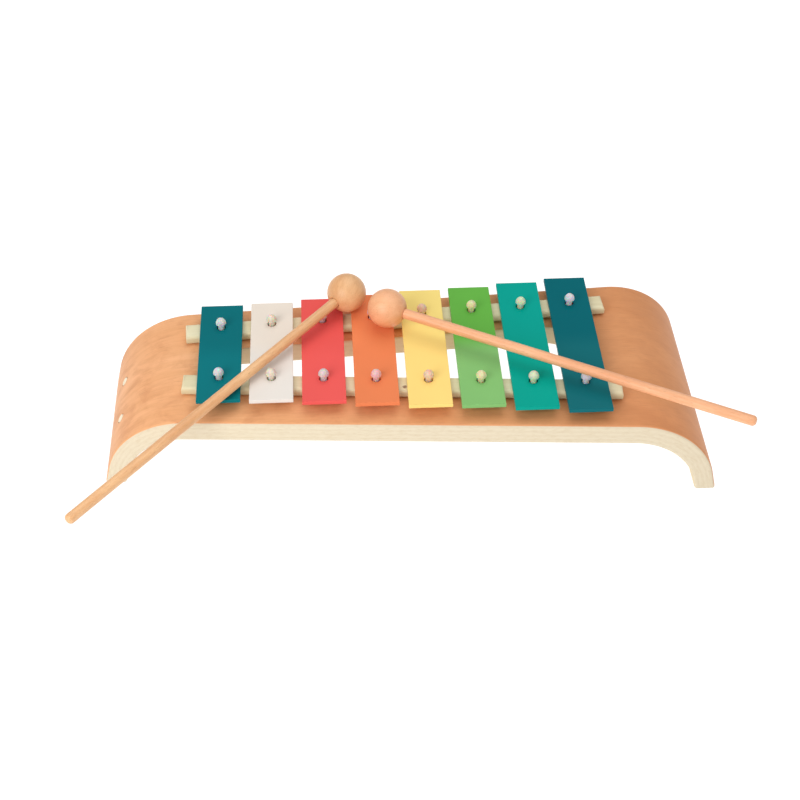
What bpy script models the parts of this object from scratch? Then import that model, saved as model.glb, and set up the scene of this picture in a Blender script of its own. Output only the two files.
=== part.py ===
"""A toy glockenspiel with eight tuned bars: a bent-plywood bridge, two rails, sixteen loose-fit pins
that hold the bars, and two wooden mallets that lie on the bars."""

import math

import bmesh
import bpy
from mathutils import Euler, Vector

MM = 0.001

# Bridge: one sheet of plywood, flat on top, whose two ends bend down to splayed legs and thin a little.
PLY = 13.4 * MM
FOOT_PLY = 11.4 * MM
FLAT_HALF = 123.2 * MM
BEND_RADIUS = 46.5 * MM
BEND_ANGLE = math.radians(76)
BEND_STEPS = 14
TOP_HEIGHT = 47.3 * MM
BRIDGE_X = 3 * MM
DEPTH_MID = 106.9 * MM
DEPTH_TAPER = 0.1188
BRIDGE_EDGE = 1.2 * MM
SLOT_HALF_LENGTH = 106 * MM
SLOT_MID = 34.8 * MM
SLOT_TAPER = 0.102
SLOT_END_STEPS = 12

# Rails: they carry the bars and spread apart towards the low notes. ROW_X is the middle of the row.
ROW_X = -0.6 * MM
RAIL_WIDTH = 12 * MM
RAIL_HEIGHT = 5.5 * MM
RAIL_HALF_LENGTH = 121.5 * MM
RAIL_EDGE = 1.4 * MM
RAIL_SPREAD = 29.05 * MM
RAIL_TAPER = 0.0645
RAIL_Y = 2.65 * MM

# Bars, from the shortest at -X to the longest at +X.
BAR_PITCH = 28.84 * MM
BAR_WIDTH = 24 * MM
BAR_THICKNESS = 2.5 * MM
BAR_EDGE = 0.3 * MM
LONGEST_BAR = 113.4 * MM
BAR_Y = 2.1 * MM
BAR_HOLE = 5 * MM
SEMITONES = (12, 11, 9, 7, 5, 4, 2, 0)
BAR_COLOURS = (
    ("teal", (0.007, 0.165, 0.195)),
    ("cream", (0.86, 0.79, 0.70)),
    ("red", (0.83, 0.100, 0.090)),
    ("orange", (0.88, 0.225, 0.075)),
    ("yellow", (0.98, 0.68, 0.20)),
    ("green", (0.16, 0.50, 0.115)),
    ("turquoise", (0.0, 0.365, 0.275)),
    ("petrol", (0.004, 0.130, 0.165)),
)

# Pins: pressed into the rails, with a mushroom head above each bar.
PIN_SHAFT = 3.6 * MM
PIN_HEAD = 5.9 * MM
PIN_CAP = 3.5 * MM
PIN_NECK = 0.7 * MM
PIN_HEIGHT = 6.5 * MM
PIN_DEPTH = 4.4 * MM
PIN_SPREAD = 27.55 * MM
PIN_TAPER = 0.0625
PIN_Y = 1.7 * MM
PIN_SIDES = 12

# Mallets: a turned ball on a dowel, each as (name, ball centre, heading, droop).
BALL = 22.4 * MM
STICK = 5.8 * MM
STICK_END = 1.6 * MM
MALLET_REACH = 214 * MM
SOCKET_DEPTH = 9 * MM
MALLETS = (
    ("left", Vector((-29.3, 36.5, 20.25)) * MM, math.radians(227.1), math.radians(4)),
    ("right", Vector((-6.7, 20.1, 21.4)) * MM, math.radians(-26.8), math.radians(1.4)),
)

# Plugs flush with the outer face of the left leg, and the screws that hold the rails from below.
PLUG = 5.4 * MM
PLUG_LENGTH = 7 * MM
PLUG_ANGLE = math.radians(56.5)
PLUG_ROWS = (("front", -18.9 * MM), ("rear", 11.9 * MM))
SCREW_SHANK = 2.5 * MM
SCREW_HEAD = 5.6 * MM
SCREW_RIM = 0.4 * MM
SCREW_POINT = 2.5 * MM
SCREW_LENGTH = 15.5 * MM
SCREW_WAY = 3.5 * MM
SCREW_SUNK = 0.8 * MM

FIT = 0.3 * MM
RAIL_TOP = RAIL_HEIGHT + FIT
BAR_BOTTOM = RAIL_TOP + FIT
BAR_TOP = BAR_BOTTOM + BAR_THICKNESS


def clear_scene():
    for obj in list(bpy.data.objects):
        bpy.data.objects.remove(obj, do_unlink=True)


def new_collection(name):
    collection = bpy.data.collections.new(name)
    bpy.context.scene.collection.children.link(collection)
    return collection


def material(name, colour, roughness, metallic=0.0):
    made = bpy.data.materials.get(name) or bpy.data.materials.new(name)
    made.use_nodes = True
    shader = made.node_tree.nodes["Principled BSDF"]
    shader.inputs["Base Color"].default_value = (*colour, 1)
    shader.inputs["Roughness"].default_value = roughness
    shader.inputs["Metallic"].default_value = metallic
    return made


def mesh_object(name, mesh, collection, parent=None):
    obj = bpy.data.objects.new(name, mesh)
    collection.objects.link(obj)
    obj.parent = parent
    return obj


def empty(name, parent=None, location=(0, 0, 0)):
    obj = bpy.data.objects.new(name, None)
    model.objects.link(obj)
    obj.empty_display_size = 0.01
    obj.parent = parent
    obj.location = location
    return obj


def box_mesh(name, size):
    mesh = bpy.data.meshes.new(name)
    work = bmesh.new()
    bmesh.ops.create_cube(work, size=1)
    bmesh.ops.scale(work, vec=size, verts=work.verts)
    work.to_mesh(mesh)
    work.free()
    return mesh


def prism_mesh(name, outline, along, length):
    """The closed prism of an outline, centred on it, drawn out by length along one direction."""
    mesh = bpy.data.meshes.new(name)
    work = bmesh.new()
    step = Vector(along) * length
    face = work.faces.new([work.verts.new(Vector(point) - step / 2) for point in outline])
    grown = bmesh.ops.extrude_face_region(work, geom=[face])
    moved = [item for item in grown["geom"] if isinstance(item, bmesh.types.BMVert)]
    bmesh.ops.translate(work, vec=step, verts=moved)
    bmesh.ops.recalc_face_normals(work, faces=work.faces)
    work.to_mesh(mesh)
    work.free()
    return mesh


def cylinders_mesh(name, places, radius, depth, sides=16, turn=None):
    """Separate upright cylinders around each place, for a cutter, turned about their own centres."""
    mesh = bpy.data.meshes.new(name)
    work = bmesh.new()
    for place in places:
        made = bmesh.ops.create_cone(
            work, cap_ends=True, segments=sides, radius1=radius, radius2=radius, depth=depth
        )
        if turn:
            bmesh.ops.rotate(work, cent=(0, 0, 0), matrix=turn, verts=made["verts"])
        bmesh.ops.translate(work, vec=place, verts=made["verts"])
    work.to_mesh(mesh)
    work.free()
    return mesh


def turned(name, profile, parent, steps):
    """A solid of revolution about Z, from a profile of (radius, height) that runs top to bottom."""
    mesh = bpy.data.meshes.new(name)
    points = [(radius, 0, height) for radius, height in profile]
    mesh.from_pydata(points, [(i, i + 1) for i in range(len(points) - 1)], [])
    obj = mesh_object(name, mesh, model, parent)
    screw = obj.modifiers.new("turn", "SCREW")
    screw.steps = steps
    screw.render_steps = steps
    screw.use_merge_vertices = True
    screw.merge_threshold = 0.00001
    screw.use_smooth_shade = True
    return obj


def cutter(name, mesh, parent=None):
    obj = mesh_object(name, mesh, cutters, parent)
    obj.hide_render = True
    obj.display_type = "WIRE"
    return obj


def boolean(obj, other, operation="DIFFERENCE"):
    modifier = obj.modifiers.new(other.name, "BOOLEAN")
    modifier.operation = operation
    modifier.solver = "EXACT"
    modifier.object = other


def bevel(obj, width, segments=2, angle=math.radians(50)):
    modifier = obj.modifiers.new("edges", "BEVEL")
    modifier.width = width
    modifier.segments = segments
    modifier.limit_method = "ANGLE"
    modifier.angle_limit = angle


def bar_x(index):
    """The middle of a bar, from 0 at the shortest to 7 at the longest."""
    return ROW_X + (index - 3.5) * BAR_PITCH


def bar_length(index):
    """A bar's pitch goes with one over its length squared, so a semitone is a 24th root of two."""
    return LONGEST_BAR * 2 ** (-SEMITONES[index] / 24)


def half_depth(x):
    return (DEPTH_MID + DEPTH_TAPER * x) / 2


def leg_side(sheet, foot_sheet):
    """One side of the right-hand bend, from the flat to the floor, this far in from the outer face."""
    points = []
    for step in range(BEND_STEPS + 1):
        share = step / BEND_STEPS
        radius = BEND_RADIUS - sheet - (foot_sheet - sheet) * share**2
        angle = BEND_ANGLE * share
        points.append((FLAT_HALF + radius * math.sin(angle), radius * math.cos(angle) - BEND_RADIUS))
    left = TOP_HEIGHT + points[-1][1]
    points.append((points[-1][0] + left / math.tan(BEND_ANGLE), -TOP_HEIGHT))
    return points


def bridge_outline():
    """The bridge seen from the front, the outer side first and then the inner side back again."""
    outer = leg_side(0, 0)
    inner = leg_side(PLY, FOOT_PLY)
    outside = [(-x, z) for x, z in reversed(outer)] + outer
    inside = [(x, z) for x, z in reversed(inner)] + [(-x, z) for x, z in inner]
    return [(BRIDGE_X + x, 0, z) for x, z in outside + inside]


def plan_outline():
    """The bridge seen from above, narrow at the short bars and wide at the long ones."""
    reach = 2 * FLAT_HALF
    return [
        (x, side * half_depth(x), 0)
        for x, side in ((-reach, -1), (reach, -1), (reach, 1), (-reach, 1))
    ]


def slot_outline():
    """The long slot under the bars, with a half-round end at each side."""
    points = []
    for end in (1, -1):
        radius = (SLOT_MID + end * SLOT_TAPER * SLOT_HALF_LENGTH) / 2
        for step in range(SLOT_END_STEPS + 1):
            angle = math.pi * (step / SLOT_END_STEPS - 0.5)
            x = end * (SLOT_HALF_LENGTH - radius + radius * math.cos(angle))
            points.append((x, BAR_Y + end * radius * math.sin(angle), 0))
    return points


def plug_place(y, depth):
    """A point on the left bend, this far in from the outer face, and the turn of its normal."""
    radius = BEND_RADIUS - depth
    x = BRIDGE_X - FLAT_HALF - radius * math.sin(PLUG_ANGLE)
    return Vector((x, y, radius * math.cos(PLUG_ANGLE) - BEND_RADIUS))


def plug_turn():
    return Euler((0, -PLUG_ANGLE, 0))


def rail_y(x, side):
    return RAIL_Y + side * (RAIL_SPREAD + RAIL_TAPER * x)


def pin_y(x, side):
    return PIN_Y + side * (PIN_SPREAD + PIN_TAPER * x)


def screw_places(side):
    """The two screws of a rail sit under the first gap and the last gap between its bars."""
    gaps = [(bar_x(index) + bar_x(index + 1)) / 2 for index in (0, 6)]
    return [(x, rail_y(x, side)) for x in gaps]


def make_bridge(parent):
    body = prism_mesh("bridge", bridge_outline(), (0, 1, 0), 2 * DEPTH_MID)
    bridge = mesh_object("bridge", body, model, parent)
    bridge.data.materials.append(material("veneered plywood", (0.62, 0.30, 0.14), 0.45))
    plan = prism_mesh("bridge_plan", plan_outline(), (0, 0, 1), 4 * TOP_HEIGHT)
    boolean(bridge, cutter("bridge_plan", plan, parent), "INTERSECT")
    bevel(bridge, BRIDGE_EDGE)
    slot = prism_mesh("bridge_slot", slot_outline(), (0, 0, 1), 4 * PLY)
    boolean(bridge, cutter("bridge_slot", slot, parent))
    places = [Vector((x, y, -PLY / 2)) for side in (-1, 1) for x, y in screw_places(side)]
    shanks = cylinders_mesh("screw_ways", places, SCREW_SHANK / 2 + FIT, 2 * PLY)
    boolean(bridge, cutter("screw_ways", shanks, parent))
    heads = [Vector((x, y, -PLY)) for side in (-1, 1) for x, y in screw_places(side)]
    sink_depth = SCREW_HEAD / 2 + SCREW_SUNK
    sinks = cylinders_mesh("screw_sinks", heads, SCREW_HEAD / 2 + FIT, 2 * sink_depth)
    boolean(bridge, cutter("screw_sinks", sinks, parent))
    holes = [plug_place(y, PLUG_LENGTH / 2) for _, y in PLUG_ROWS]
    deep = PLUG_LENGTH + 4 * FIT
    turn = plug_turn().to_matrix()
    sockets = cylinders_mesh("plug_sockets", holes, PLUG / 2 + FIT / 2, deep, 24, turn)
    boolean(bridge, cutter("plug_sockets", sockets, parent))


def make_plugs(parent):
    colour = material("birch", (0.84, 0.72, 0.50), 0.5)
    for row, y in PLUG_ROWS:
        mesh = cylinders_mesh(f"plug_{row}", [(0, 0, 0)], PLUG / 2 - FIT / 2, PLUG_LENGTH, 24)
        plug = mesh_object(f"leg_plug_{row}", mesh, model, parent)
        plug.data.materials.append(colour)
        plug.location = plug_place(y, PLUG_LENGTH / 2)
        plug.rotation_euler = plug_turn()


def make_rail(name, side, parent):
    length = 2 * RAIL_HALF_LENGTH / math.cos(math.atan(RAIL_TAPER))
    rail = mesh_object(name, box_mesh(name, (length, RAIL_WIDTH, RAIL_HEIGHT)), model, parent)
    rail.data.materials.append(material("pale beech", (0.80, 0.66, 0.42), 0.5))
    rail.location = (ROW_X, rail_y(ROW_X, side), FIT + RAIL_HEIGHT / 2)
    rail.rotation_euler = (0, 0, side * math.atan(RAIL_TAPER))
    bevel(rail, RAIL_EDGE)
    pins = [Vector((bar_x(i), pin_y(bar_x(i), side), RAIL_TOP)) for i in range(8)]
    bores = cylinders_mesh(f"{name}_bores", pins, PIN_SHAFT / 2 + FIT / 2, 2 * PIN_DEPTH)
    boolean(rail, cutter(f"{name}_bores", bores, parent))
    screws = [Vector((x, y, 0)) for x, y in screw_places(side)]
    ways = cylinders_mesh(f"{name}_screw_ways", screws, SCREW_SHANK / 2 + FIT, 2 * SCREW_WAY)
    boolean(rail, cutter(f"{name}_screw_ways", ways, parent))


def make_bar(index, parent):
    name = f"bar_{index + 1}"
    x = bar_x(index)
    origin = empty(f"{name}_slide", parent, (x, BAR_Y, BAR_BOTTOM))
    size = (BAR_WIDTH, bar_length(index), BAR_THICKNESS)
    bar = mesh_object(name, box_mesh(name, size), model, origin)
    label, colour = BAR_COLOURS[index]
    bar.data.materials.append(material(f"{label} paint", colour, 0.35))
    bar.location = (0, 0, BAR_THICKNESS / 2)
    bevel(bar, BAR_EDGE, 1)
    places = [Vector((0, pin_y(x, side) - BAR_Y, 0)) for side in (-1, 1)]
    holes = cylinders_mesh(f"{name}_holes", places, BAR_HOLE / 2, 4 * BAR_THICKNESS, 20)
    boolean(bar, cutter(f"{name}_holes", holes, origin))


def pin_profile():
    """Half of a pin, with z = 0 at the bar's top face."""
    head = PIN_HEAD / 2
    shaft = PIN_SHAFT / 2
    brim = PIN_HEIGHT - PIN_CAP
    profile = []
    for step in range(7):
        angle = math.pi / 2 * step / 6
        profile.append((head * math.sin(angle), brim + PIN_CAP * math.cos(angle)))
    profile.append((shaft, brim - PIN_NECK))
    bottom = RAIL_TOP - PIN_DEPTH + FIT - BAR_TOP
    profile.append((shaft, bottom))
    profile.append((0, bottom))
    return profile


def make_pin(index, row, side, parent):
    x = bar_x(index)
    pin = turned(f"pin_{index + 1}_{row}", pin_profile(), parent, PIN_SIDES)
    pin.data.materials.append(material("clear white plastic", (0.85, 0.85, 0.85), 0.25))
    pin.location = (x, pin_y(x, side), BAR_TOP)


def screw_profile():
    """Half of a countersunk screw, with z = 0 at the face of its head, which points down."""
    shank = SCREW_SHANK / 2
    head = SCREW_HEAD / 2
    return [
        (0, SCREW_LENGTH),
        (shank, SCREW_LENGTH - SCREW_POINT),
        (shank, head - shank + SCREW_RIM),
        (head, SCREW_RIM),
        (head, 0),
        (0, 0),
    ]


def make_screw(name, place, parent):
    screw = turned(name, screw_profile(), parent, 12)
    screw.data.materials.append(material("zinc-plated steel", (0.65, 0.65, 0.66), 0.35, 1.0))
    screw.location = (*place, SCREW_SUNK - PLY)


def stick_profile():
    """Half of a dowel from inside the ball at the top to its rounded end at the bottom."""
    radius = STICK / 2
    top = SOCKET_DEPTH - BALL / 2 - FIT
    profile = [(0, top), (radius, top)]
    for step in range(5):
        angle = math.pi / 2 * step / 4
        across = radius - STICK_END * (1 - math.cos(angle))
        profile.append((across, STICK_END * (1 - math.sin(angle)) - MALLET_REACH))
    profile.append((0, -MALLET_REACH))
    return profile


def make_mallet(name, centre, heading, droop, parent):
    """The mallet's own -Z runs down the stick from the middle of the ball."""
    origin = empty(f"mallet_{name}", parent, centre)
    origin.rotation_euler = Euler((0, droop - math.pi / 2, heading))
    wood = material("oiled beech", (0.80, 0.44, 0.22), 0.45)
    stick = turned(f"mallet_{name}_stick", stick_profile(), origin, 20)
    stick.data.materials.append(wood)
    mesh = bpy.data.meshes.new(f"mallet_{name}_ball")
    work = bmesh.new()
    bmesh.ops.create_uvsphere(work, u_segments=28, v_segments=16, radius=BALL / 2)
    work.to_mesh(mesh)
    work.free()
    mesh.shade_smooth()
    ball = mesh_object(f"mallet_{name}_ball", mesh, model, origin)
    ball.data.materials.append(wood)
    drill = cylinders_mesh(
        f"mallet_{name}_socket", [(0, 0, -BALL / 2)], STICK / 2 + FIT / 2, 2 * SOCKET_DEPTH, 20
    )
    boolean(ball, cutter(f"mallet_{name}_socket", drill, origin))


def stand_on_floor(root):
    """Moves the object so that its box's bottom centre is the origin."""
    bpy.context.view_layer.update()
    graph = bpy.context.evaluated_depsgraph_get()
    corners = []
    for obj in model.objects:
        if obj.type == "MESH":
            shape = obj.evaluated_get(graph)
            corners += [shape.matrix_world @ vertex.co for vertex in shape.data.vertices]
    low = [min(corner[axis] for corner in corners) for axis in range(3)]
    high = [max(corner[axis] for corner in corners) for axis in range(3)]
    root.location = (-(low[0] + high[0]) / 2, -(low[1] + high[1]) / 2, -low[2])


def build():
    root = empty("glockenspiel_root")
    make_bridge(root)
    make_plugs(root)
    for row, side in (("front", -1), ("rear", 1)):
        make_rail(f"{row}_rail", side, root)
        for number, place in enumerate(screw_places(side)):
            make_screw(f"rail_screw_{row}_{('left', 'right')[number]}", place, root)
        for index in range(8):
            make_pin(index, row, side, root)
    for index in range(8):
        make_bar(index, root)
    for mallet in MALLETS:
        make_mallet(*mallet, root)
    stand_on_floor(root)


clear_scene()
model = new_collection("glockenspiel")
cutters = new_collection("cutters")
build()
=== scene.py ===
import math

import bmesh
import bpy
from mathutils import Euler, Matrix, Vector


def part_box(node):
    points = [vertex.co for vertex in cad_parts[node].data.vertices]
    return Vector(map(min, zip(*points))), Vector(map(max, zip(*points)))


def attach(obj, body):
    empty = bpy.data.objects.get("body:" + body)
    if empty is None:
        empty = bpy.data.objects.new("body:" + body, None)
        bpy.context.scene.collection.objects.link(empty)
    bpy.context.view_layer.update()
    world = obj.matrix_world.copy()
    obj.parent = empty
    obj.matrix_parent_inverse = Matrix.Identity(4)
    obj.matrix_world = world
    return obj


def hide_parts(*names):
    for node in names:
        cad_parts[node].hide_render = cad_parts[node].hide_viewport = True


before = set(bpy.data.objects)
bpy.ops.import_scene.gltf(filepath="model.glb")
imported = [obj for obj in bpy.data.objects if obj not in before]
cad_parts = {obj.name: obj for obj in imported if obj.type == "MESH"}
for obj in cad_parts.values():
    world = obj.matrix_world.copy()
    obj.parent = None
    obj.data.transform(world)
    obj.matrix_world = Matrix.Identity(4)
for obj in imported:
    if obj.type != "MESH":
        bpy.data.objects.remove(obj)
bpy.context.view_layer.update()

MM = 0.001

# Sizes that the frame's boxes don't give, as the CAD has them. First the bridge, with its sheet laid flat.
PLY = 13.4 * MM
FOOT_PLY = 11.4 * MM
FLAT_HALF = 123.2 * MM
BEND_RADIUS = 46.5 * MM
BEND_ANGLE = math.radians(76)
LEG_SHEET = 12 * MM
BRIDGE_TAPER = 0.0594
SLOT_HALF_LENGTH = 106 * MM
SLOT_MID = 17.4 * MM
SLOT_TAPER = 0.051
SLOT_Y = 2.1 * MM
BRIDGE_X = 3 * MM
ROW_SHIFT = 0.6 * MM
PLUG = 5.4 * MM
PLUG_LENGTH = 7 * MM
PLUG_ANGLE = math.radians(56.5)
SCREW_SHANK = 2.5 * MM
SCREW_HEAD = 5.6 * MM
SCREW_SUNK = 0.8 * MM
FIT = 0.3 * MM

# The rails, bars, mallets and pins.
RAIL_WIDTH = 12 * MM
RAIL_TAPER = 0.0645
RAIL_HALF_LENGTH = 121.5 * MM
BAR_HOLE = 5 * MM
STICK = 5.8 * MM
SOCKET_DEPTH = 9 * MM
PIN_SHAFT = 3.6 * MM
PIN_CAP = 3.5 * MM
PIN_NECK = 0.7 * MM

# What the finer pieces add: rounded edges, veneer and layers in the plywood, and steps round holes and bends.
BRIDGE_ROUND = 1.6 * MM
RAIL_ROUND = 1.8 * MM
BAR_ROUND = 0.28 * MM
VENEER = 0.5 * MM
LAYERS = 9
HOLE_STEPS = 40
BEND_STEPS = 30

# How far inside the CAD the bridge and the balls stay, and what sets the two rails' grain apart.
BRIDGE_INSIDE = 0.05 * MM
BALL_SCALE = 0.998
RAIL_GRAIN_SHIFT = 50 * MM

# The camera, from the middle of the bridge's flat top.
CAMERA_PLACE = Vector((-39.9, -638.32, 569.1)) * MM
CAMERA_PITCH = math.radians(43.2)
CAMERA_YAW = math.radians(3.56)
CAMERA_ROLL = math.radians(0.58)
CAMERA_LENS = 67.85

LIGHT_TARGET = Vector((0, 0, 0.04))


def middle(node):
    low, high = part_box(node)
    return (low + high) / 2


def size(node):
    low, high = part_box(node)
    return high - low


# The middle of the bridge's flat top, to the right of the row's middle, and half the bridge's depth there.
ROW_MIDDLE = (middle("bar_4").x + middle("bar_5").x) / 2
TOP = Vector((ROW_MIDDLE + ROW_SHIFT, middle("bridge").y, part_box("bridge")[1].z))
HALF_DEPTH = size("bridge").y / 2 - BRIDGE_TAPER * (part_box("bridge")[1].x - TOP.x) - BRIDGE_INSIDE


class Shader:
    """A Principled material under construction: add() makes a node and returns its first output."""

    def __init__(self, name):
        self.material = bpy.data.materials.new(name)
        self.material.use_nodes = True
        self.tree = self.material.node_tree
        self.principled = self.tree.nodes["Principled BSDF"]

    def connect(self, socket, value):
        if isinstance(value, bpy.types.NodeSocket):
            self.tree.links.new(value, socket)
        else:
            socket.default_value = value

    def add(self, kind, inputs=None, output=0, **settings):
        node = self.tree.nodes.new(kind)
        for name, value in settings.items():
            setattr(node, name, value)
        for name, value in (inputs or {}).items():
            self.connect(node.inputs[name], value)
        return node.outputs[output]

    def set(self, **values):
        for name, value in values.items():
            self.connect(self.principled.inputs[name.replace("_", " ")], value)

    def stretch(self, vector, scale):
        return self.add("ShaderNodeMapping", {"Vector": vector, "Scale": scale})

    def noise(self, vector, scale, detail=3, roughness=0.5, distortion=0.0):
        inputs = {"Vector": vector, "Scale": scale, "Detail": detail}
        inputs |= {"Roughness": roughness, "Distortion": distortion}
        return self.add("ShaderNodeTexNoise", inputs)

    def ramp(self, factor, stops):
        node = self.tree.nodes.new("ShaderNodeValToRGB")
        elements = node.color_ramp.elements
        while len(elements) < len(stops):
            elements.new(0.5)
        for element, (place, colour) in zip(elements, stops):
            element.position = place
            element.color = (*colour, 1)
        self.tree.links.new(factor, node.inputs["Fac"])
        return node.outputs["Color"]

    def math(self, operation, first, second=0.0, third=0.0):
        node = self.tree.nodes.new("ShaderNodeMath")
        node.operation = operation
        for socket, value in zip(node.inputs, (first, second, third)):
            self.connect(socket, value)
        return node.outputs[0]

    def span(self, value, low, high, to_low=0.0, to_high=1.0, smooth=True):
        """Carries the range from low to high over to the other range, and stays inside it."""
        inputs = {"Value": value, "From Min": low, "From Max": high, "To Min": to_low, "To Max": to_high}
        kind = "SMOOTHSTEP" if smooth else "LINEAR"
        return self.add("ShaderNodeMapRange", inputs, interpolation_type=kind)

    def mix(self, factor, first, second, blend="MIX"):
        node = self.tree.nodes.new("ShaderNodeMix")
        node.data_type = "RGBA"
        node.blend_type = blend
        self.connect(node.inputs[0], factor)
        self.connect(node.inputs[6], first)
        self.connect(node.inputs[7], second)
        return node.outputs[2]

    def bump(self, height, distance, strength):
        inputs = {"Height": height, "Distance": distance, "Strength": strength}
        self.set(Normal=self.add("ShaderNodeBump", inputs))


def rgb(red, green, blue):
    """A colour given as it looks on the screen, from 0 to 255, as linear light."""
    values = [value / 255 for value in (red, green, blue)]
    return tuple(v / 12.92 if v <= 0.04045 else ((v + 0.055) / 1.055) ** 2.4 for v in values)


def rgba(colour):
    return (*colour, 1)


def grain(shader, vector, light, dark, along, across, contrast=1.0):
    """Fine straight grain that runs along the vector's X, with slow waves, and its height for bump."""
    slow = shader.noise(shader.stretch(vector, (along * 0.5, across * 0.12, across * 0.12)), 1, 2, 0.5, 0.6)
    fine = shader.noise(shader.stretch(vector, (along * 2.2, across, across)), 1, 4, 0.6, 0.3)
    hair = shader.noise(shader.stretch(vector, (along * 7, across * 5, across * 5)), 1, 2, 0.5)
    blend = shader.math("MULTIPLY_ADD", slow, 0.5, shader.math("MULTIPLY", fine, 0.35))
    blend = shader.math("MULTIPLY_ADD", hair, 0.15, blend)
    half = 0.16 / contrast
    colour = shader.ramp(blend, [(0.5 - half, dark), (0.5 + half, light)])
    return colour, shader.math("ADD", shader.math("MULTIPLY", fine, 0.6), shader.math("MULTIPLY", hair, 0.4))


def pores(shader, vector, along=90, across=2600):
    """Short dark dashes along the grain, from 0 to 1."""
    field = shader.noise(shader.stretch(vector, (along, across, across)), 1, 1, 0.4)
    return shader.span(field, 0.63, 0.72)


def veneer_face(shader, sheet, along):
    """The varnished outer face and the height of its grain: lighter and paler at the left, partly the wood's
    own colour and partly painted sheen of the light from the left, and mottled.
    """
    left, height = grain(shader, sheet, rgb(246, 187, 139), rgb(228, 163, 112), 9, 240)
    right, _ = grain(shader, sheet, rgb(229, 161, 111), rgb(209, 139, 90), 24, 150, 0.8)
    wander = shader.noise(sheet, 12, 2)
    # Lighter and paler to the left: partly the veneer's own colour, partly painted sheen from the light at
    # the left.
    place = shader.math("MULTIPLY_ADD", wander, 0.16, shader.math("SUBTRACT", along, 0.08))
    face = shader.mix(shader.span(place, -0.12, 0.14), left, right)
    cloud = shader.noise(shader.stretch(sheet, (60, 80, 80)), 1, 5, 0.65, 0.4)
    face = shader.mix(shader.span(cloud, 0.42, 0.72, 0, 0.6), face, rgba(rgb(212, 145, 99)))
    dashes = shader.math("MULTIPLY", pores(shader, sheet), 0.25)
    return shader.mix(dashes, face, rgba(rgb(172, 108, 68))), height


def plywood_core(shader, sheet, along, across, depth, sawn):
    """The pale layers and glue lines of the cut edges, slot walls coloured a darker tan, and the pale
    underside.
    """
    layer = shader.math("DIVIDE", depth, -PLY / LAYERS)
    band = shader.span(shader.math("PINGPONG", layer, 1), 0.42, 0.58)
    core = shader.mix(band, rgba(rgb(225, 212, 187)), rgba(rgb(222, 208, 182)))
    core = shader.mix(shader.span(sawn, 0.4, 0.75, 0, 0.4), core, rgba(rgb(206, 186, 152)))
    from_glue = shader.math("ABSOLUTE", shader.math("SUBTRACT", shader.math("FRACT", layer), 0.5))
    core = shader.mix(shader.span(from_glue, 0.44, 0.5, 0, 0.07), core, rgba(rgb(190, 160, 118)))
    # The walls of the slot, under the rails and bars, are coloured a darker tan.
    slot_wide = shader.span(shader.math("ABSOLUTE", across), 26 * MM, 30 * MM, 0.5, 0)
    slot_long = shader.span(shader.math("ABSOLUTE", along), SLOT_HALF_LENGTH + 4 * MM, FLAT_HALF, 1, 0)
    core = shader.mix(shader.math("MULTIPLY", slot_wide, slot_long), core, rgba(rgb(214, 180, 134)))
    under, _ = grain(shader, sheet, rgb(232, 217, 188), rgb(216, 197, 162), 9, 240)
    return shader.mix(shader.span(depth, 0.4 * MM - PLY, 0.6 * MM - PLY, 1, 0), core, under)


def veneer_material():
    """Varnished brown veneer on top of pale plywood, told apart by depth in the flat sheet."""
    shader = Shader("varnished plywood")
    sheet = shader.add("ShaderNodeAttribute", output=1, attribute_name="sheet")
    along, across, depth = (shader.add("ShaderNodeSeparateXYZ", {0: sheet}, output=axis) for axis in range(3))
    face, face_height = veneer_face(shader, sheet, along)
    sawn = shader.noise(shader.stretch(sheet, (260, 420, 900)), 1, 3, 0.6)
    core = plywood_core(shader, sheet, along, across, depth, sawn)
    skin = shader.span(depth, -VENEER - 0.2 * MM, -VENEER + 0.1 * MM)
    shader.set(Base_Color=shader.mix(skin, core, face))
    shader.set(Roughness=shader.span(skin, 0, 1, 0.62, 0.5, smooth=False), Specular_IOR_Level=0.15)
    height = shader.math("MULTIPLY_ADD", skin, shader.math("SUBTRACT", face_height, sawn), sawn)
    shader.bump(height, 0.05 * MM, 0.4)
    return shader.material


def rail_material(knot):
    """Bare pale wood with grain along X and one small brown knot at a place in the stored grain."""
    shader = Shader("pale rail wood")
    place = shader.add("ShaderNodeAttribute", output=1, attribute_name="grain")
    colour, height = grain(shader, place, rgb(232, 223, 188), rgb(214, 200, 158), 12, 500)
    away = shader.add("ShaderNodeVectorMath", {0: place, 1: knot}, operation="SUBTRACT")
    squeezed = shader.stretch(away, (1 / (1.4 * MM), 1 / (1.2 * MM), 1 / (2.6 * MM)))
    reach = shader.add("ShaderNodeVectorMath", {0: squeezed}, output=1, operation="LENGTH")
    wobble = shader.math("ADD", reach, shader.span(shader.noise(place, 900, 2), 0.3, 0.7, -0.25, 0.25))
    eye = shader.span(wobble, 0.55, 1.25, 1, 0)
    shader.set(Base_Color=shader.mix(shader.math("MULTIPLY", eye, 0.85), colour, rgba(rgb(120, 78, 48))))
    shader.set(Roughness=0.6)
    shader.bump(height, 0.05 * MM, 0.5)
    return shader.material


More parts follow.
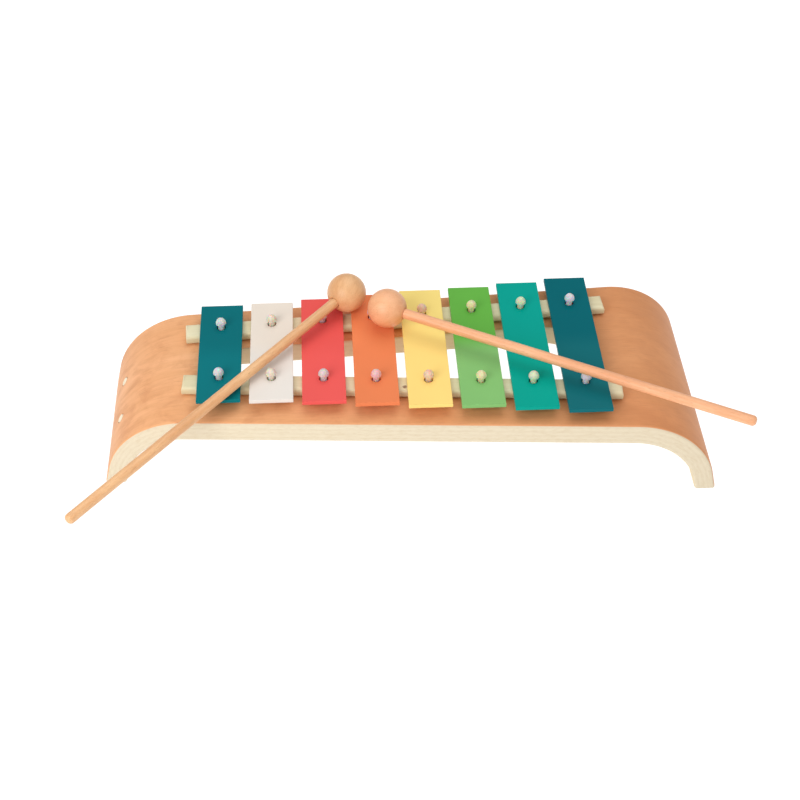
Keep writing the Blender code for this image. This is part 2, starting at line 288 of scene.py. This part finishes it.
def enamel_material(name, colour, near_painted_light):
    """Satin enamel with the fine ripple of sprayed paint, its colour drifting to a second colour at the bar's
    front end, which is painted light: a painted reflection that lightens the green bar's front half, and
    small painted shifts of light and shade on the other bars.
    """
    shader = Shader(name)
    place = shader.add("ShaderNodeTexCoord", output=3)
    along = shader.add("ShaderNodeSeparateXYZ", {0: place}, output=1)
    drift = shader.noise(place, 22, 2)
    # The front half's second colour is painted reflection and shade, not a change in the paint.
    half = shader.span(shader.math("MULTIPLY_ADD", drift, 0.008, along), -0.004, 0.012, 1, 0)
    tone_with_painted_light = shader.mix(half, rgba(colour), rgba(near_painted_light))
    deeper = shader.mix(1.0, tone_with_painted_light, (0.96, 0.96, 0.96, 1), "MULTIPLY")
    shader.set(Base_Color=shader.mix(shader.span(drift, 0.35, 0.65), deeper, tone_with_painted_light))
    speck = shader.noise(place, 1500, 2)
    ripple = shader.noise(place, 420, 2, 0.4)
    shader.set(Roughness=shader.span(speck, 0.3, 0.7, 0.34, 0.42, smooth=False))
    shader.bump(ripple, 0.02 * MM, 0.3)
    shader.set(Specular_IOR_Level=0.06)
    return shader.material


def pin_material(name, painted_bounce_tint):
    """Milky translucent moulded plastic, coloured with painted light: the colour the bar under it bounces
    into it.
    """
    shader = Shader(name)
    place = shader.add("ShaderNodeTexCoord", output=3)
    haze = shader.noise(place, 700, 2)
    deeper = tuple(channel * 0.86 for channel in painted_bounce_tint)
    # The colouring is painted bounce light from the bar under the pin.
    shader.set(Base_Color=shader.ramp(haze, [(0.3, deeper), (0.7, painted_bounce_tint)]))
    shader.set(Roughness=shader.span(haze, 0.3, 0.7, 0.28, 0.4, smooth=False))
    shader.set(Transmission_Weight=0.25, IOR=1.46, Subsurface_Weight=0.7, Subsurface_Scale=2 * MM)
    return shader.material


def mallet_material(name, light, dark):
    """Turned beech: grain along the piece's own Z, short flecks, satin varnish."""
    shader = Shader(name)
    place = shader.add("ShaderNodeAttribute", output=1, attribute_name="grain")
    colour, height = grain(shader, place, light, dark, 26, 360, 1.9)
    fleck = shader.math("MULTIPLY", pores(shader, place, 260, 3400), 0.4)
    deep = tuple(channel * 0.6 for channel in dark)
    shader.set(Base_Color=shader.mix(fleck, colour, rgba(deep)))
    shader.set(Roughness=shader.span(height, 0.3, 0.7, 0.36, 0.5, smooth=False))
    shader.bump(height, 0.05 * MM, 0.4)
    shader.set(Coat_Weight=0.12, Coat_Roughness=0.3)
    return shader.material


def birch_material():
    """End grain of the plugs: pale, with fine speckle."""
    shader = Shader("birch end grain")
    place = shader.add("ShaderNodeTexCoord", output=3)
    speckle = shader.noise(place, 2400, 2, 0.6)
    shader.set(Base_Color=shader.ramp(speckle, [(0.3, rgb(238, 222, 190)), (0.7, rgb(250, 240, 214))]))
    shader.set(Roughness=0.6)
    shader.bump(speckle, 0.03 * MM, 0.4)
    return shader.material


def zinc_material():
    """The rail screws' plating: dull grey metal with a soft blotch."""
    shader = Shader("zinc plate")
    place = shader.add("ShaderNodeTexCoord", output=3)
    blotch = shader.noise(place, 600, 3)
    shader.set(Base_Color=shader.ramp(blotch, [(0.3, rgb(168, 168, 170)), (0.7, rgb(206, 206, 208))]))
    shader.set(Roughness=shader.span(blotch, 0.3, 0.7, 0.28, 0.42, smooth=False), Metallic=1.0)
    return shader.material


def floor_material():
    """A floor that glows just enough to look white, so the part stands out as on a studio sweep."""
    shader = Shader("pale floor")
    place = shader.add("ShaderNodeTexCoord", output=3)
    drift = shader.noise(place, 3, 2)
    shader.set(Base_Color=shader.ramp(drift, [(0.3, (0.24, 0.24, 0.24)), (0.7, (0.27, 0.27, 0.27))]))
    shader.set(Roughness=0.75, Emission_Color=(1, 1, 1, 1), Emission_Strength=0.94)
    return shader.material


def smooth(obj, angle=35):
    """Smooth shading that keeps flat faces flat and edges over the angle sharp."""
    obj.data.shade_smooth()
    obj.data.set_sharp_from_angle(angle=math.radians(angle))
    weigh = obj.modifiers.new("normals", "WEIGHTED_NORMAL")
    weigh.keep_sharp = True
    weigh.weight = 100
    bpy.context.view_layer.objects.active = obj
    with bpy.context.temp_override(object=obj, active_object=obj):
        bpy.ops.object.modifier_apply(modifier=weigh.name)


def put(piece, place, turn):
    """Turns the piece's mesh and moves the piece, so that its own box stays tight."""
    piece.data.transform(turn)
    piece.location = place


def mesh_object(name, work, material=None):
    """A new object in the scene from a bmesh, which is used up."""
    mesh = bpy.data.meshes.new(name)
    bmesh.ops.recalc_face_normals(work, faces=work.faces)
    work.to_mesh(mesh)
    work.free()
    obj = bpy.data.objects.new(name, mesh)
    bpy.context.scene.collection.objects.link(obj)
    if material:
        mesh.materials.append(material)
    return obj


def circle(centre, radius, steps):
    turns = [2 * math.pi * step / steps for step in range(steps)]
    return [(centre[0] + radius * math.cos(turn), centre[1] + radius * math.sin(turn)) for turn in turns]


def rectangle(wide, long):
    x, y = wide / 2, long / 2
    return [(-x, -y), (x, -y), (x, y), (-x, y)]


def plate(loops, thickness, rounding, steps):
    """A flat plate with rounded edges, centred on z = 0, as a bmesh, from its outline and its holes'."""
    curve = bpy.data.curves.new("plate", "CURVE")
    curve.dimensions = "2D"
    curve.fill_mode = "BOTH"
    curve.extrude = thickness / 2 - rounding
    curve.bevel_depth = rounding
    curve.bevel_resolution = steps
    curve.offset = -rounding
    for loop in loops:
        spline = curve.splines.new("POLY")
        spline.points.add(len(loop) - 1)
        for point, (x, y) in zip(spline.points, loop):
            point.co = (x, y, 0, 1)
        spline.use_cyclic_u = True
    holder = bpy.data.objects.new("plate", curve)
    bpy.context.scene.collection.objects.link(holder)
    graph = bpy.context.evaluated_depsgraph_get()
    mesh = bpy.data.meshes.new_from_object(holder.evaluated_get(graph))
    work = bmesh.new()
    work.from_mesh(mesh)
    bmesh.ops.remove_doubles(work, verts=work.verts, dist=0.002 * MM)
    bpy.data.objects.remove(holder)
    bpy.data.curves.remove(curve)
    bpy.data.meshes.remove(mesh)
    return work


def lathe(name, profile, steps, material):
    """A turned piece about Z from (radius, height) points that run top to bottom, closed on the axis."""
    work = bmesh.new()
    ends = [work.verts.new((0, 0, profile[0][1])), work.verts.new((0, 0, profile[-1][1]))]
    rings = []
    for radius, height in profile[1:-1]:
        rings.append([work.verts.new((x, y, height)) for x, y in circle((0, 0), radius, steps)])
    for step in range(steps):
        after = (step + 1) % steps
        work.faces.new((ends[0], rings[0][step], rings[0][after]))
        work.faces.new((ends[1], rings[-1][after], rings[-1][step]))
        for upper, lower in zip(rings, rings[1:]):
            work.faces.new((upper[step], lower[step], lower[after], upper[after]))
    return mesh_object(name, work, material)


def keep_grain(obj, turn=Matrix.Identity(3), shift=(0, 0, 0)):
    """Stores each point's own place, turned so that X runs along the grain, for the material to read."""
    held = obj.data.attributes.new("grain", "FLOAT_VECTOR", "POINT")
    for item, vertex in zip(held.data, obj.data.vertices):
        item.vector = turn @ vertex.co + Vector(shift)


def bent(s, y, n):
    """A point of the flat sheet, s along it and n below its outer face, once the sheet is bent."""
    side = math.copysign(1, s)
    run = abs(s) - FLAT_HALF
    if run <= 0:
        return Vector((BRIDGE_X + s, y, n)) + TOP
    angle = min(run / BEND_RADIUS, BEND_ANGLE)
    thinned = PLY - (PLY - FOOT_PLY) * (angle / BEND_ANGLE) ** 2
    radius = BEND_RADIUS + n * thinned / PLY
    out = FLAT_HALF + radius * math.sin(angle)
    down = radius * math.cos(angle) - BEND_RADIUS
    past = max(run - BEND_RADIUS * BEND_ANGLE, 0) / LEG_SHEET
    leg = (TOP.z + radius * math.cos(BEND_ANGLE) - BEND_RADIUS) / math.sin(BEND_ANGLE)
    out += past * leg * math.cos(BEND_ANGLE)
    down -= past * leg * math.sin(BEND_ANGLE)
    return Vector((BRIDGE_X + side * out, y, down)) + TOP


def sheet_edge():
    """The flat sheet's outline: its depth follows the bent sheet's place, so the bridge tapers in plan."""
    reach = FLAT_HALF + BEND_RADIUS * BEND_ANGLE + LEG_SHEET
    steps = 36
    places = [FLAT_HALF + (reach - FLAT_HALF) * step / steps for step in range(steps + 1)]
    places = [-place for place in reversed(places)] + places
    edge = []
    for s in places:
        x = bent(s, 0, 0).x - TOP.x
        edge.append((s, HALF_DEPTH + BRIDGE_TAPER * x))
    return [(s, -y) for s, y in edge] + [(s, y) for s, y in reversed(edge)]


def slot_edge():
    """The slot's outline in the flat sheet: two half rounds, the wider one under the long bars."""
    points = []
    steps = 24
    for end in (1, -1):
        radius = SLOT_MID + end * SLOT_TAPER * SLOT_HALF_LENGTH
        for step in range(steps + 1):
            turn = math.pi * (step / steps - 0.5)
            x = end * (SLOT_HALF_LENGTH - radius + radius * math.cos(turn))
            points.append((x - BRIDGE_X, SLOT_Y + end * radius * math.sin(turn)))
    return points


def hole(centre, radius, low, high, stretch=1.0):
    """A cutter through the flat sheet between two depths, its lower end stretched along the sheet."""
    work = bmesh.new()
    outline = circle((0, 0), radius, HOLE_STEPS)
    lower = [work.verts.new((centre[0] + x * stretch, centre[1] + y, low)) for x, y in outline]
    upper = [work.verts.new((centre[0] + x, centre[1] + y, high)) for x, y in outline]
    work.faces.new(lower)
    work.faces.new(upper)
    for step in range(HOLE_STEPS):
        after = (step + 1) % HOLE_STEPS
        work.faces.new((lower[step], lower[after], upper[after], upper[step]))
    return mesh_object("hole", work)


def sheet_holes():
    """The ways and sinks of the rail screws, and the sockets of the leg plugs."""
    cutters = []
    sink_top = SCREW_HEAD / 2 + SCREW_SUNK - PLY
    socket_depth = PLUG_LENGTH + 2 * FIT
    stretch = BEND_RADIUS / (BEND_RADIUS - socket_depth)
    for row in ("front", "rear"):
        for side in ("left", "right"):
            screw = middle(f"rail_screw_{row}_{side}") - TOP
            place = (screw.x - BRIDGE_X, screw.y)
            cutters.append(hole(place, SCREW_SHANK / 2 + FIT, -2 * PLY, PLY))
            cutters.append(hole(place, SCREW_HEAD / 2 + FIT, -2 * PLY, sink_top))
        place = (-FLAT_HALF - BEND_RADIUS * PLUG_ANGLE, middle(f"leg_plug_{row}").y - TOP.y)
        cutters.append(hole(place, PLUG / 2 + FIT / 2, -socket_depth, socket_depth, stretch))
    return cutters


def cut(piece, cutters):
    """Takes each cutter's solid out of the piece and removes the cutter."""
    for other in cutters:
        modifier = piece.modifiers.new("cut", "BOOLEAN")
        modifier.solver = "EXACT"
        modifier.object = other
    graph = bpy.context.evaluated_depsgraph_get()
    mesh = bpy.data.meshes.new_from_object(piece.evaluated_get(graph))
    piece.modifiers.clear()
    piece.data = mesh
    for other in cutters:
        bpy.data.objects.remove(other)


def split_sheet(piece):
    """Cuts the flat sheet's faces into strips that are narrow enough to bend smoothly."""
    work = bmesh.new()
    work.from_mesh(piece.data)
    bmesh.ops.triangulate(work, faces=[face for face in work.faces if len(face.verts) > 4])
    stations = [FLAT_HALF * part / 8 for part in range(1, 8)]
    arc = BEND_RADIUS * BEND_ANGLE
    stations += [FLAT_HALF + arc * step / BEND_STEPS for step in range(BEND_STEPS + 1)]
    for s in stations + [-s for s in stations]:
        everything = work.verts[:] + work.edges[:] + work.faces[:]
        bmesh.ops.bisect_plane(work, geom=everything, plane_co=(s, 0, 0), plane_no=(1, 0, 0), dist=0.01 * MM)
    bmesh.ops.remove_doubles(work, verts=work.verts, dist=0.02 * MM)
    work.to_mesh(piece.data)
    work.free()


def bend_sheet(piece):
    """Bends the flat sheet, and stores where each point was in it for the material to read."""
    held = piece.data.attributes.new("sheet", "FLOAT_VECTOR", "POINT")
    for item, vertex in zip(held.data, piece.data.vertices):
        item.vector = vertex.co
    for vertex in piece.data.vertices:
        vertex.co = bent(*vertex.co)


def make_bridge():
    work = plate([sheet_edge(), slot_edge()], PLY, BRIDGE_ROUND, 5)
    bmesh.ops.translate(work, vec=(0, 0, -PLY / 2), verts=work.verts)
    piece = mesh_object("bridge_plywood", work, veneer_material())
    cut(piece, sheet_holes())
    split_sheet(piece)
    bend_sheet(piece)
    smooth(piece)
    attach(piece, "frame")
    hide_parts("bridge")


def make_rail(node, side, material):
    """A rail that runs askew, with the bars' taper. Side is -1 for the front rail and 1 for the rear one."""
    angle = math.atan(RAIL_TAPER)
    outline = rectangle(2 * RAIL_HALF_LENGTH / math.cos(angle), RAIL_WIDTH)
    work = plate([outline], size(node).z, RAIL_ROUND, 5)
    piece = mesh_object(f"{node}_wood", work, material)
    keep_grain(piece, shift=(0, side * RAIL_GRAIN_SHIFT, 0))
    put(piece, middle(node), Matrix.Rotation(side * angle, 4, "Z"))
    smooth(piece)
    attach(piece, "frame")
    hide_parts(node)


def make_bar(number, slot, colour, near_painted_light):
    node = f"bar_{number}"
    wide, long, thick = size(node)
    centre = middle(node)
    loops = [rectangle(wide, long)]
    for row in ("front", "rear"):
        pin = middle(f"pin_{number}_{row}") - centre
        loops.append(circle((pin.x, pin.y), BAR_HOLE / 2, HOLE_STEPS))
    work = plate(loops, thick, BAR_ROUND, 3)
    piece = mesh_object(f"{node}_enamel", work, enamel_material(f"{slot} enamel", colour, near_painted_light))
    piece.location = centre
    smooth(piece)
    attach(piece, node)
    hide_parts(node)


def pin_profile(height):
    """A pin with a domed cap, a short slope under its brim and a plain shaft, its middle at z = 0."""
    top = height / 2
    head = size("pin_1_front").x / 2
    shaft = PIN_SHAFT / 2
    profile = []
    steps = 14
    for step in range(steps + 1):
        turn = math.pi / 2 * step / steps
        profile.append((head * math.sin(turn), top - PIN_CAP * (1 - math.cos(turn))))
    brim = top - PIN_CAP
    profile.append((head - 0.15 * MM, brim - 0.12 * MM))
    profile.append((shaft + 0.2 * MM, brim - PIN_NECK + 0.15 * MM))
    profile.append((shaft, brim - PIN_NECK - 0.1 * MM))
    profile += [(shaft, 0.3 * MM - top), (shaft - 0.3 * MM, -top), (0, -top)]
    return profile


def make_pins(number, painted_bounce_tint):
    plastic = pin_material(f"milky plastic {number}", painted_bounce_tint)
    for row in ("front", "rear"):
        node = f"pin_{number}_{row}"
        piece = lathe(f"{node}_moulded", pin_profile(size(node).z), 32, plastic)
        piece.location = middle(node)
        smooth(piece, 40)
        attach(piece, "frame")
        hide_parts(node)


def far_end(node, start):
    """The middle of a stick's far end, from its furthest ring of points."""
    points = [vertex.co.copy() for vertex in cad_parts[node].data.vertices]
    tip = max(points, key=lambda point: (point - start).length)
    ring = [point for point in points if (point - tip).length < STICK * 1.2]
    return sum(ring, Vector()) / len(ring)


def ball_profile(radius):
    """A ball with a drilled socket at the bottom, its rim slightly eased."""
    bore = STICK / 2 + 0.12 * MM
    edge = math.asin((bore + 0.5 * MM) / radius)
    profile = [(0, radius)]
    steps = 44
    for step in range(1, steps + 1):
        turn = (math.pi - edge) * step / steps
        profile.append((radius * math.sin(turn), radius * math.cos(turn)))
    rim = profile[-1][1]
    profile += [(bore + 0.15 * MM, rim + 0.1 * MM), (bore, rim + 0.4 * MM)]
    profile += [(bore, rim + SOCKET_DEPTH * 0.9), (0, rim + SOCKET_DEPTH * 0.9)]
    return profile


def stick_profile(top, reach):
    """A stick from its end in the ball, at the top, down to its rounded far end."""
    radius = STICK / 2
    end = 2.2 * MM
    profile = [(0, top), (radius - 0.2 * MM, top), (radius, top - 0.2 * MM)]
    steps = 8
    for step in range(steps + 1):
        turn = math.pi / 2 * step / steps
        profile.append((radius - end * (1 - math.cos(turn)), end * (1 - math.sin(turn)) - reach))
    profile.append((0, -reach))
    return profile


def make_mallet(name, wood):
    """A ball and its stick, turned about Z with the stick downwards, then laid along the CAD's stick."""
    ball_node = f"mallet_{name}_ball"
    stick_node = f"mallet_{name}_stick"
    body = f"mallet_{name}"
    centre = middle(ball_node)
    axis = (far_end(stick_node, centre) - centre).normalized()
    radius = BALL_SCALE * size(ball_node).x / 2
    spans = [(vertex.co - centre).dot(axis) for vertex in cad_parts[stick_node].data.vertices]
    turn = Vector((0, 0, -1)).rotation_difference(axis).to_matrix().to_4x4()
    along_z = Matrix(((0, 0, 1), (0, 1, 0), (-1, 0, 0)))
    ball = lathe(f"{ball_node}_turned", ball_profile(radius), 72, wood)
    keep_grain(ball, Euler((0.3, 0.5, 0.2)).to_matrix() @ along_z)
    stick = lathe(f"{stick_node}_turned", stick_profile(-min(spans), max(spans)), 40, wood)
    keep_grain(stick, along_z)
    for piece, node in ((ball, ball_node), (stick, stick_node)):
        put(piece, centre, turn)
        smooth(piece, 40)
        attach(piece, body)
        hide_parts(node)


def dress(node, material):
    """Gives a CAD node, whose shape is right, its finished material."""
    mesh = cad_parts[node].data
    mesh.materials.clear()
    mesh.materials.append(material)


def make_floor():
    work = bmesh.new()
    bmesh.ops.create_grid(work, x_segments=1, y_segments=1, size=4)
    floor = mesh_object("floor", work, floor_material())


def area_light(name, place, width, power, colour=(1, 1, 1)):
    data = bpy.data.lights.new(name, "AREA")
    data.shape = "SQUARE"
    data.size = width
    data.energy = power
    data.color = colour
    light = bpy.data.objects.new(name, data)
    bpy.context.scene.collection.objects.link(light)
    light.location = place
    light.rotation_euler = (LIGHT_TARGET - Vector(place)).to_track_quat("-Z", "Y").to_euler()


def make_lights():
    area_light("key", (-0.52, -0.64, 0.6), 0.6, 5.4, (1, 0.985, 0.96))
    area_light("top", (0.1, 0.35, 1.3), 1.2, 6.8)
    area_light("fill", (0.7, -0.9, 0.7), 1.0, 1.5)
    world = bpy.data.worlds.new("studio")
    world.use_nodes = True
    background = world.node_tree.nodes["Background"]
    background.inputs["Color"].default_value = (1, 1, 1, 1)
    background.inputs["Strength"].default_value = 0.42
    bpy.context.scene.world = world


def make_camera():
    pitch, yaw, roll = CAMERA_PITCH, CAMERA_YAW, CAMERA_ROLL
    forward = Vector((math.sin(yaw) * math.cos(pitch), math.cos(yaw) * math.cos(pitch), -math.sin(pitch)))
    right = Vector((math.cos(yaw), -math.sin(yaw), 0))
    up = right.cross(forward)
    rolled_right = math.cos(roll) * right + math.sin(roll) * up
    rolled_up = math.cos(roll) * up - math.sin(roll) * right
    data = bpy.data.cameras.new("camera")
    data.lens = CAMERA_LENS
    data.sensor_width = 36
    camera = bpy.data.objects.new("camera", data)
    bpy.context.scene.collection.objects.link(camera)
    turn = Matrix((rolled_right, rolled_up, -forward)).transposed().to_4x4()
    camera.matrix_world = Matrix.Translation(TOP + CAMERA_PLACE) @ turn
    bpy.context.scene.camera = camera


# Each bar's material slot, its colour, the colour of its front half as painted reflection and shade, and its
# pins' colouring, which is painted light bounced from the bar.
BARS = (
    ("teal_paint", rgb(4, 110, 118), rgb(6, 116, 124), rgb(234, 240, 241)),
    ("cream_paint", rgb(236, 225, 212), rgb(232, 226, 219), rgb(250, 240, 222)),
    ("red_paint", rgb(235, 92, 88), rgb(236, 94, 90), rgb(238, 226, 226)),
    ("orange_paint", rgb(241, 139, 90), rgb(236, 133, 86), rgb(255, 214, 212)),
    ("yellow_paint", rgb(255, 229, 136), rgb(255, 221, 131), rgb(255, 222, 196)),
    ("green_paint", rgb(104, 182, 74), rgb(134, 193, 116), rgb(255, 246, 196)),
    ("turquoise_paint", rgb(0, 163, 148), rgb(0, 164, 146), rgb(238, 248, 216)),
    ("petrol_paint", rgb(0, 102, 112), rgb(16, 108, 116), rgb(242, 238, 244)),
)

make_camera()
make_lights()
make_floor()
make_bridge()
# The knot is in the front rail's top, in the gap between the fourth and the fifth bar.
knot = (ROW_MIDDLE - middle("front_rail").x + 1.6 * MM, -RAIL_GRAIN_SHIFT - 2.7 * MM, 2.7 * MM)
rail_wood = rail_material(knot)
make_rail("front_rail", -1, rail_wood)
make_rail("rear_rail", 1, rail_wood)
for number, (slot, colour, near_painted_light, painted_bounce_tint) in enumerate(BARS, 1):
    make_bar(number, slot, colour, near_painted_light)
    make_pins(number, painted_bounce_tint)
honey = mallet_material("honey beech", rgb(236, 187, 136), rgb(221, 163, 112))
rosy = mallet_material("rosy beech", rgb(245, 183, 137), rgb(233, 162, 115))
make_mallet("left", honey)
make_mallet("right", rosy)
birch = birch_material()
for node in ("leg_plug_front", "leg_plug_rear"):
    dress(node, birch)
zinc = zinc_material()
for row in ("front", "rear"):
    for side in ("left", "right"):
        dress(f"rail_screw_{row}_{side}", zinc)
bpy.context.scene.view_settings.view_transform = "Standard"
